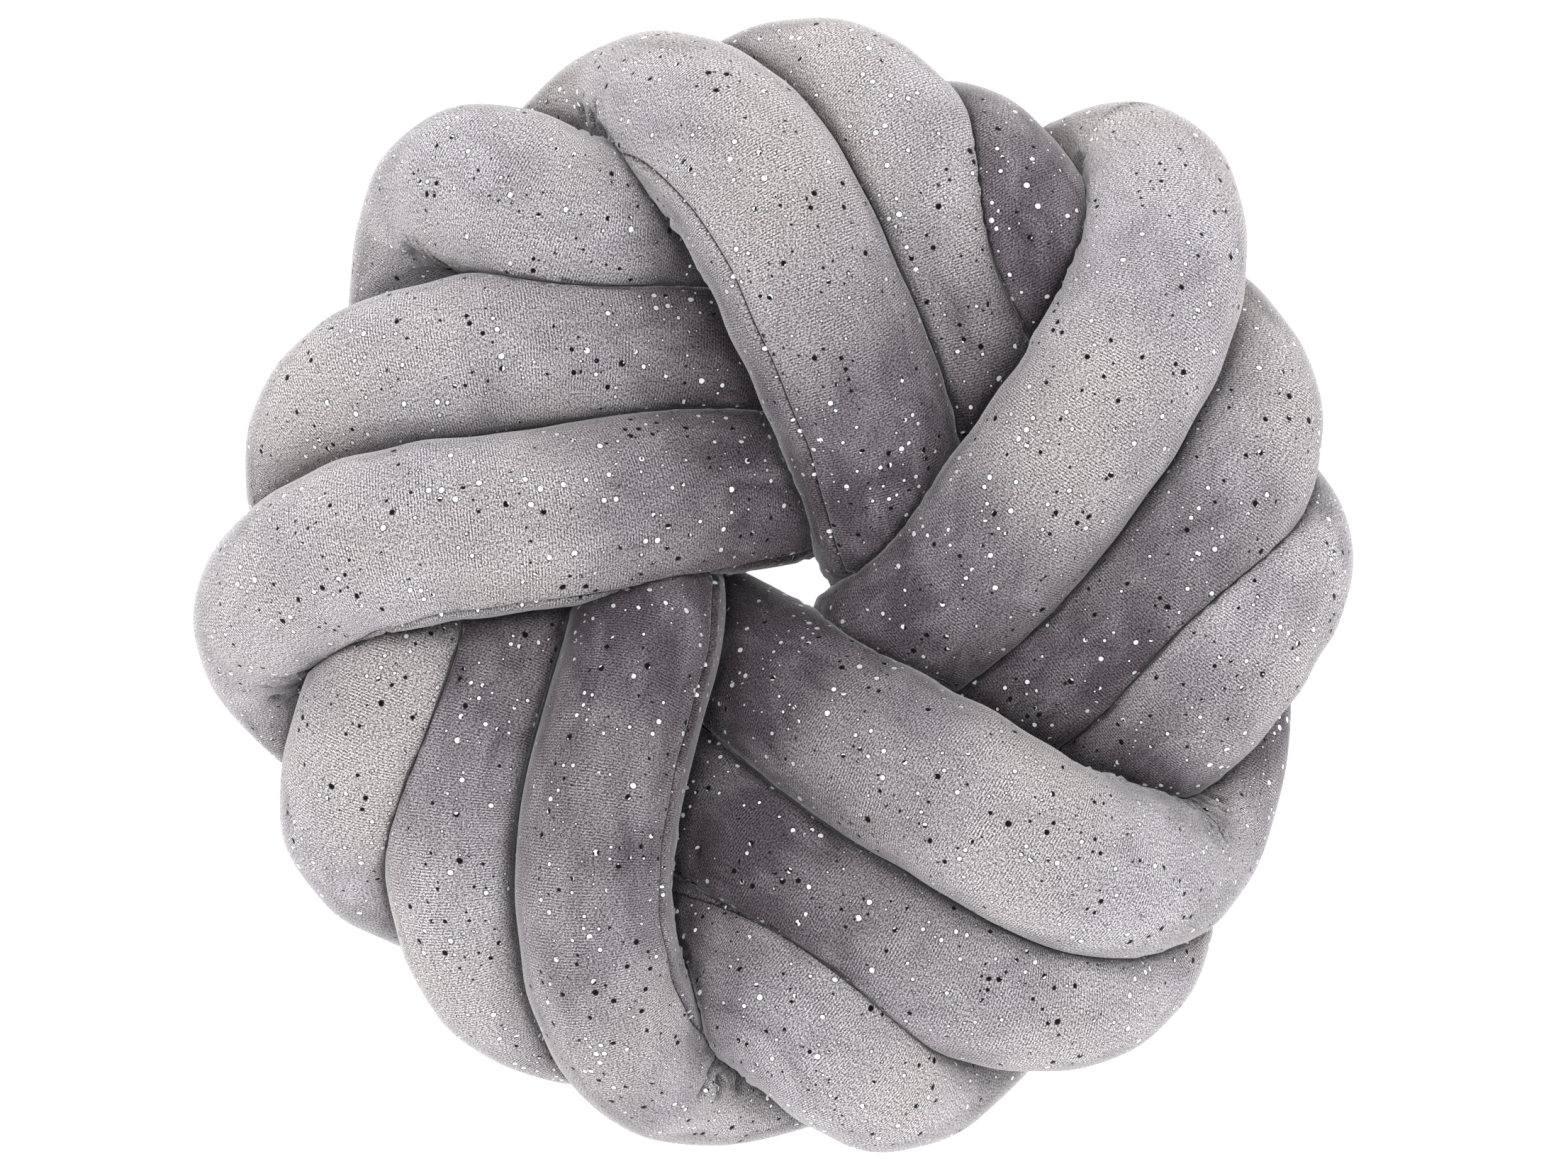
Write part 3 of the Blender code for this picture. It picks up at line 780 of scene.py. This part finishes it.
# The foil's white is partly a painted gleam, and in the shade it is painted black as a dark reflection.
FOIL = "#f7f7f9"
FOIL_IN_SHADE = "#040405"
RIB_FLECKS, LOOP_FLECKS, GRAIN_FLECKS = 1.0, 4.0, 5.7  # how bright each makes the pile
FLECKS_LESS = 3.85  # so that the mean stays at about one
FLECK_LEAST = 0.2
SEAM_SHADE = "#1a1619"
SEAM_SHADED = 0.9
STITCH_PITCH = 3.0
SEAM_CORE = 0.12  # to either side of the seam it is darkest,
SEAM_EDGE_AT_HOLE, SEAM_EDGE_AT_STITCH = 0.75, 0.4  # and here the shade ends
HOLE_UNTIL, STITCH_FROM = 0.1, 0.7  # share of the way from a hole to the stitch's middle, as a sine
GRAIN_RELIEF, LOOP_RELIEF, RIB_RELIEF = 0.16, 0.12, 0.035
LIP_RELIEF = 0.22  # the cloth bulges beside each stitch,
LIP_FROM, LIP_UNTIL = 0.5, 5.0  # most right beside the seam, and out to here
DOT_PRESSED_IN = 0.1
FOIL_RELIEF = 0.1


def velvet():
    """The cloth's material: the pile with its knit, then the seam, the dots, and the relief of all."""
    material = bpy.data.materials.new("knitted_velvet_with_silver_foil_dots")
    material.use_nodes = True
    tree = material.node_tree
    shader = tree.nodes["Principled BSDF"]
    cloth = node(tree, "UVMap", uv_map="cloth")[0]
    u, v, _ = node(tree, "SeparateXYZ", cloth)

    # the pile takes the light in flecks, by rib, loop and tuft
    # painted shade at the dive and painted light at the rim, over the pile's random brushed patches
    pile = brushed_pile_with_painted_light(tree, cloth)
    # painted sheen and painted shadows from the strands nearby
    beside = {6: pile, 7: painted_sheen_and_shadow_by_strands(tree)}
    pile = node(tree, "Mix", 1.0, named=beside, data_type="RGBA", blend_type="MULTIPLY")[2]
    rib, loops, grain = knit(tree, cloth, u, v)
    fleck = node(tree, "Math", rib, RIB_FLECKS, -FLECKS_LESS, operation="MULTIPLY_ADD")[0]
    fleck = node(tree, "Math", loops, LOOP_FLECKS, fleck, operation="MULTIPLY_ADD")[0]
    fleck = node(tree, "Math", grain, GRAIN_FLECKS, fleck, operation="MULTIPLY_ADD")[0]
    fleck = node(tree, "Math", fleck, FLECK_LEAST, operation="MAXIMUM")[0]
    flecked = {6: pile, 7: node(tree, "CombineColor", fleck, fleck, fleck)[0]}
    pile = node(tree, "Mix", 1.0, named=flecked, data_type="RGBA", blend_type="MULTIPLY")[2]

    # the seam is a dark line, wider at each stitch's hole
    from_seam = node(tree, "Math", v, TUBE_GIRTH * CM_IN_METRE / 2, operation="PINGPONG")[0]
    stitches = node(tree, "Math", u, np.pi * MM_IN_CM / STITCH_PITCH, operation="MULTIPLY")[0]
    stitches = node(tree, "Math", stitches, operation="SINE")[0]
    in_stitch = node(tree, "Math", stitches, operation="ABSOLUTE")[0]
    edges = (SEAM_EDGE_AT_HOLE / MM_IN_CM, SEAM_EDGE_AT_STITCH / MM_IN_CM)
    edge = node(tree, "MapRange", in_stitch, HOLE_UNTIL, STITCH_FROM, *edges)[0]
    across_seam = (SEAM_CORE / MM_IN_CM, edge, SEAM_SHADED, 0.0)
    line = node(tree, "MapRange", from_seam, *across_seam, interpolation_type="SMOOTHSTEP")[0]
    pile = node(tree, "Mix", line, named={6: pile, 7: from_hex(SEAM_SHADE)}, data_type="RGBA")[2]

    # the dots lie in the pile, each with a dark rim of painted shade; a dot's white is partly a painted
    # gleam, and one turned to the shade is painted black as a dark reflection
    foil, rim, shaded = foil_dots(tree, cloth)
    foils = {6: from_hex(FOIL), 7: from_hex(FOIL_IN_SHADE)}
    foils = node(tree, "Mix", shaded, named=foils, data_type="RGBA")[2]
    # painted shade in the pressed-in ring round each dot
    pile = node(tree, "Mix", rim, named={6: pile, 7: from_hex(SEAM_SHADE)}, data_type="RGBA")[2]
    colour = node(tree, "Mix", foil, named={6: pile, 7: foils}, data_type="RGBA")[2]
    bright = node(tree, "Math", 1.0, shaded, operation="SUBTRACT")[0]
    bright = node(tree, "Math", bright, foil, operation="MULTIPLY")[0]
    roughness = node(tree, "MapRange", bright, 0.0, 1.0, PILE_ROUGHNESS, FOIL_ROUGHNESS)[0]
    metal = node(tree, "Math", bright, FOIL_METAL, operation="MULTIPLY")[0]

    # relief
    height = node(tree, "Math", grain, GRAIN_RELIEF, operation="MULTIPLY")[0]
    height = node(tree, "Math", loops, LOOP_RELIEF, height, operation="MULTIPLY_ADD")[0]
    height = node(tree, "Math", rib, RIB_RELIEF, height, operation="MULTIPLY_ADD")[0]
    lip = (LIP_FROM / MM_IN_CM, LIP_UNTIL / MM_IN_CM, LIP_RELIEF, 0.0)
    lip = node(tree, "MapRange", from_seam, *lip, interpolation_type="SMOOTHSTEP")[0]
    height = node(tree, "Math", lip, in_stitch, height, operation="MULTIPLY_ADD")[0]
    height = node(tree, "Math", rim, -DOT_PRESSED_IN, height, operation="MULTIPLY_ADD")[0]
    height = node(tree, "Mix", foil, named={2: height, 3: FOIL_RELIEF}, data_type="FLOAT")[0]
    bump = node(tree, "Bump", named={"Height": height, "Strength": 1.0, "Distance": MM})[0]

    tree.links.new(colour, shader.inputs["Base Color"])
    tree.links.new(metal, shader.inputs["Metallic"])
    tree.links.new(roughness, shader.inputs["Roughness"])
    tree.links.new(bump, shader.inputs["Normal"])
    shader.inputs["Sheen Weight"].default_value = SHEEN
    shader.inputs["Sheen Roughness"].default_value = SHEEN_ROUGHNESS
    shader.inputs["Sheen Tint"].default_value = from_hex(PILE_SHEEN)
    shader.inputs["Specular IOR Level"].default_value = PILE_SPECULAR
    return material


velvet_cloth = velvet()

# --------------------------------------------------------------------------------- the long tube
# The longer sleeve, about 2.8 m, stuffed with fibre and sewn end to end. It lies over the face ten
# times, as the inner and the outer strand of each band by turns.
long_tube = cloth_mesh("long_stuffed_tube", long_grid, clear[0], taken[0], *long_sleeve[3:])
long_tube.data.materials.append(velvet_cloth)
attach(long_tube, "root")
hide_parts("long_tube")

# -------------------------------------------------------------------------------- the short tube
# The shorter sleeve, about 1.4 m, of the same cloth and stuffing. It is the middle strand of each band,
# held between the two strands of the long tube beside it.
short_tube = cloth_mesh("short_stuffed_tube", short_grid, clear[1], taken[1], *short_sleeve[3:])
short_tube.data.materials.append(velvet_cloth)
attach(short_tube, "root")
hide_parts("short_tube")

# ------------------------------------------------------------------------------------ the studio
# The cushion lies on its back on a plain white table, under a wide soft light above it and weaker ones
# all round, and the camera looks straight down on its face from far away.
TABLE_SIZE = 8.0
TABLE_TOP = -0.5 * MM  # just clear of the cushion's flattened underside
TABLE_GLOW = 0.9  # it is lit from below, so that hardly a shadow shows on it
TABLE_SPECKLES = 900.0  # waves across the table, hardly to be seen
TABLE_GREYS = (0.86, 0.9)  # share of the light that it throws back
TABLE_ROUGHNESS = 0.8
WALL_GLOW = 1.0  # white walls all round, and a ceiling as bright
VIEW_WIDTH = 0.4196  # metres across the photograph, at the height of the cushion's silhouette
SILHOUETTE_HEIGHT = 0.052
CAMERA_HEIGHT = 2.6
CAMERA_AIM = (0.00285, -0.00085)  # the cushion lies a little off the middle of the photograph
CAMERA_REACH = 50  # metres
SENSOR = 36.0  # mm

bpy.ops.mesh.primitive_plane_add(size=TABLE_SIZE, location=(0, 0, TABLE_TOP))
floor = bpy.context.object
floor.name = "white_table"
floor.data.transform(floor.matrix_world)
floor.matrix_world.identity()
table = bpy.data.materials.new("white_opal_board")
table.use_nodes = True
speckle = node(table.node_tree, "TexNoise", named={"Scale": TABLE_SPECKLES, "Detail": 2.0})[0]
grey = node(table.node_tree, "MapRange", speckle, 0.0, 1.0, *TABLE_GREYS)[0]
grey = node(table.node_tree, "CombineColor", grey, grey, grey)[0]
board = table.node_tree.nodes["Principled BSDF"]
table.node_tree.links.new(grey, board.inputs["Base Color"])
board.inputs["Roughness"].default_value = TABLE_ROUGHNESS
board.inputs["Emission Color"].default_value = from_hex("#ffffff")
board.inputs["Emission Strength"].default_value = TABLE_GLOW
floor.data.materials.append(table)

# Columns: name, place, size in metres, watts. Each is aimed at the middle of the cushion.
LIGHTS = (
    ("overhead_softbox", (-0.5, 0.7, 3.2), 1.2, 29.0),
    ("left_fill", (-2.4, 0.5, 0.9), 1.4, 4.0),
    ("right_fill", (2.4, -0.2, 0.9), 1.4, 5.0),
    ("front_fill", (0.2, -2.4, 0.9), 1.4, 16.0),
    ("back_fill", (0.0, 2.4, 0.9), 1.4, 10.0),
)
CUSHION_MIDDLE = (0, 0, 0.05)
for name, place, size, watts in LIGHTS:
    light = bpy.data.lights.new(name, "AREA")
    light.shape = "SQUARE"
    light.size = size
    light.energy = watts
    lamp = bpy.data.objects.new(name, light)
    lamp.location = place
    aim = -np.array(place) + CUSHION_MIDDLE
    tilt = np.arctan2(np.hypot(aim[0], aim[1]), -aim[2])
    lamp.rotation_euler = (tilt, 0, np.arctan2(-aim[0], aim[1]))
    bpy.context.scene.collection.objects.link(lamp)

world = bpy.data.worlds.new("white_room")
bpy.context.scene.world = world
world.use_nodes = True
walls = world.node_tree.nodes["Background"]
walls.inputs["Color"].default_value = from_hex("#f4f4f8")
walls.inputs["Strength"].default_value = WALL_GLOW

camera_data = bpy.data.cameras.new("camera")
camera_data.sensor_width = SENSOR
camera_data.lens = SENSOR * (CAMERA_HEIGHT - SILHOUETTE_HEIGHT) / VIEW_WIDTH
camera_data.clip_end = CAMERA_REACH
camera = bpy.data.objects.new("camera", camera_data)
camera.location = (*CAMERA_AIM, CAMERA_HEIGHT)
bpy.context.scene.collection.objects.link(camera)
bpy.context.scene.camera = camera
bpy.context.scene.view_settings.view_transform = "Standard"
